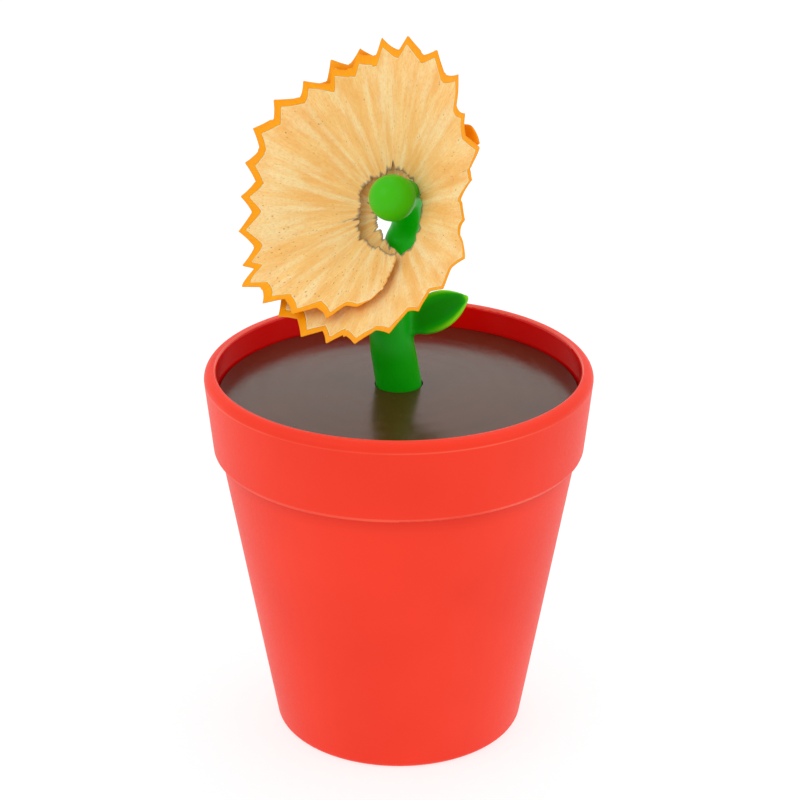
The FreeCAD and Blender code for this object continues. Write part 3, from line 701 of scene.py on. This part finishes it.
def sheet(name, tooth, slant, thickness, material, replaced):
    """A closed thin sheet: a front face, a back face and an edge all round."""
    height, width = tooth.shape
    front = on_curl(tooth, slant, np.zeros_like(tooth)).reshape(-1, 3)
    back = on_curl(tooth, slant, thickness).reshape(-1, 3)
    count = height * width
    index = np.arange(count).reshape(height, width)
    a, b, c, d = (q.ravel() for q in (index[:-1, :-1], index[:-1, 1:], index[1:, 1:], index[1:, :-1]))
    faces = np.vstack([np.stack([a, d, c, b], 1), np.stack([a, b, c, d], 1) + [count]])
    loop = np.concatenate([index[0, :], index[1:, -1], index[-1, -2::-1], index[-2:0:-1, 0]])
    after = np.roll(loop, -1)
    faces = np.vstack([faces, np.stack([loop, after, after + count, loop + count], 1)])
    piece = mesh_piece(name, np.vstack([front, back]), faces, "flower", material)
    set_attribute(piece, "tooth", np.tile(tooth.ravel(), 2))
    set_attribute(piece, "slant", np.tile(slant.ravel(), 2))
    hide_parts(replaced)
    return piece


def make_shaving(wood, lacquer):
    def hole_edge(tooth):
        return eased(HOLE_SLANT, tooth) + ragged(tooth)

    def wood_edge(tooth):
        return rim_slant(tooth) - band_width(tooth)

    rows = np.concatenate([np.linspace(0, 0.06, 5)[:-1], np.linspace(0.06, 0.9, 26)[:-1],
                           np.linspace(0.9, 1, 9)])
    tooth, slant = curl_grid(rows, hole_edge, wood_edge)
    from_rim = wood_edge(tooth.ravel()).reshape(tooth.shape) - slant
    from_hole = slant - hole_edge(tooth.ravel()).reshape(tooth.shape)
    taper = smooth_step(0.0, 1.6, from_rim)
    thickness = SEAM_THICKNESS + (SHEET_THICKNESS - SEAM_THICKNESS) * taper
    thickness = thickness * (0.45 + 0.55 * smooth_step(0.0, 0.35, from_hole))
    wood_piece = sheet("shaving_curl", tooth, slant, thickness, wood, "shaving_wood")
    flat = tooth.ravel()
    smudge_and_crack_shade = (1 - smooth_step(0.05, 0.5, from_hole.ravel() + 0.25 * wander(flat, 43, 3.0))) * 0.75
    # Painted shade: a dark line along the crack at the hole.
    crack_shade = np.exp(-((flat - CRACK_TOOTH - 0.06 * wander(slant.ravel(), 47, 0.9)) / CRACK_WIDTH) ** 2)
    crack_shade = crack_shade * (1 - smooth_step(5.4, 8.0, slant.ravel())) * 0.7
    flecked = 0.16 * (1 - smooth_step(3.5, 6.5, flat)) * smooth_step(5.0, 9.0, slant.ravel())
    set_attribute(wood_piece, "flecked", np.tile(flecked, 2))
    set_attribute(wood_piece, "smudge_and_crack_shade", np.tile(np.maximum(smudge_and_crack_shade, crack_shade), 2))
    set_attribute(wood_piece, "primer", np.tile(1 - smooth_step(0.04, 0.17, from_rim.ravel()), 2))

    rows = np.linspace(0, 1, 8)
    tooth, _ = curl_grid(LACQUER_START + (1 - LACQUER_START) * rows, wood_edge, rim_slant)
    share = rows[:, None]
    inner = wood_edge(tooth.ravel()).reshape(tooth.shape)
    outer = rim_slant(tooth.ravel()).reshape(tooth.shape)
    slant = inner + (outer - inner) * share
    thickness = SEAM_THICKNESS + (EDGE_THICKNESS - SEAM_THICKNESS) * share * np.ones_like(tooth)
    lacquer_piece = sheet("shaving_lacquer_edge", tooth, slant, thickness, lacquer,
                          "shaving_lacquer")
    set_attribute(lacquer_piece, "rim_depth", np.tile((0.35 * share**2 * np.ones_like(tooth)).ravel(), 2))


# ---------------------------------------------------------------- stage, light and camera

FLOOR_SIZE = 80.0                        # metres: it reaches the horizon in every view
WORLD_FRONT, WORLD_BACK = 0.84, 0.86     # the studio's brightness in front of the part and behind it
LIT_PLACE = (0, 0, 0.05)                 # metres, as the lights' places and sizes are
CAMERA_ELEVATION = 23.24
CAMERA_DISTANCE = 307.9
CAMERA_AIM = (0.155, 0, 45.31)
CAMERA_LENS = 107.26


def make_stage():
    """A pale floor that glows a little, so that it is as white as the studio round it."""
    n = Nodes("paper")
    fibre = n.noise(n.position, 900, 2)
    tone = n.ramp(fibre, (0.3, (0.16, 0.32, 0.32)), (0.7, (0.18, 0.34, 0.34)))
    n.shade(Base_Color=tone, Roughness=0.9, Emission_Color=(1, 0.85, 0.85, 1), Emission_Strength=0.85,
            Specular_IOR_Level=0.2)
    half = FLOOR_SIZE / 2
    corners = [(-half, -half, 0), (half, -half, 0), (half, half, 0), (-half, half, 0)]
    mesh = bpy.data.meshes.new("floor")
    mesh.from_pydata(corners, [], [(0, 1, 2, 3)])
    floor = bpy.data.objects.new("floor", mesh)
    floor.data.materials.append(n.material)
    bpy.context.scene.collection.objects.link(floor)


def make_light(name, place, size, power):
    data = bpy.data.lights.new(name, "AREA")
    data.shape = "RECTANGLE"
    data.size, data.size_y = size
    data.energy = power
    lamp = bpy.data.objects.new(name, data)
    lamp.location = place
    lamp.rotation_euler = (Vector(LIT_PLACE) - Vector(place)).to_track_quat("-Z", "Y").to_euler()
    bpy.context.scene.collection.objects.link(lamp)


def make_studio():
    """An even white studio, with three soft lights."""
    world = bpy.data.worlds.new("studio")
    world.use_nodes = True
    tree = world.node_tree
    background = tree.nodes["Background"]
    background.inputs["Color"].default_value = (1, 1, 1, 1)
    direction = tree.nodes.new("ShaderNodeTexCoord")
    parts = tree.nodes.new("ShaderNodeSeparateXYZ")
    ramp = tree.nodes.new("ShaderNodeMapRange")
    ramp.inputs["From Min"].default_value = -1.0
    ramp.inputs["To Min"].default_value = WORLD_FRONT
    ramp.inputs["To Max"].default_value = WORLD_BACK
    tree.links.new(direction.outputs["Generated"], parts.inputs[0])
    tree.links.new(parts.outputs["Y"], ramp.inputs["Value"])
    tree.links.new(ramp.outputs[0], background.inputs["Strength"])
    bpy.context.scene.world = world
    make_light("key_left", (-0.55, -0.35, 0.6), (0.5, 0.5), 0.9)
    make_light("fill_right", (0.6, -0.2, 0.45), (0.5, 0.6), 0.6)
    make_light("top_back", (0.1, 0.35, 0.75), (0.6, 0.3), 0.9)
    bpy.context.scene.view_settings.view_transform = "Standard"


def make_camera():
    """Looks down at the pot from the front."""
    elevation = math.radians(CAMERA_ELEVATION)
    data = bpy.data.cameras.new("camera")
    data.sensor_width = 36.0
    data.lens = CAMERA_LENS
    data.clip_start, data.clip_end = 0.01, 100
    camera = bpy.data.objects.new("camera", data)
    back = Vector((0, -math.cos(elevation), math.sin(elevation)))
    camera.location = (Vector(CAMERA_AIM) + back * CAMERA_DISTANCE) * MM
    camera.rotation_euler = (math.pi / 2 - elevation, 0, 0)
    bpy.context.scene.collection.objects.link(camera)
    bpy.context.scene.camera = camera


# ---------------------------------------------------------------- the scene

def dress(node, material):
    """Gives a CAD node its finished material."""
    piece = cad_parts[node]
    piece.data.materials.clear()
    piece.data.materials.append(material)


make_stage()
make_studio()
make_camera()

dress("pot_shell", pot_material())
dress("soil_lid", soil_material())
dress("sharpener_cradle", plain_plastic("cradle_plastic", (0.68, 0.012, 0.006), (0.78, 0.02, 0.01), 0.36))
dress("sharpener_body", metal_material("block_metal", (0.78, 0.79, 0.81), 0.32, (900, 900, 140)))
dress("sharpener_blade", metal_material("blade_steel", (0.66, 0.67, 0.69), 0.18, (2600, 260, 260), 0.4))
dress("blade_screw", metal_material("screw_steel", (0.58, 0.56, 0.52), 0.26, (1500, 1500, 1500)))

make_stem(stem_material())
make_shaving(wood_material(), lacquer_material())
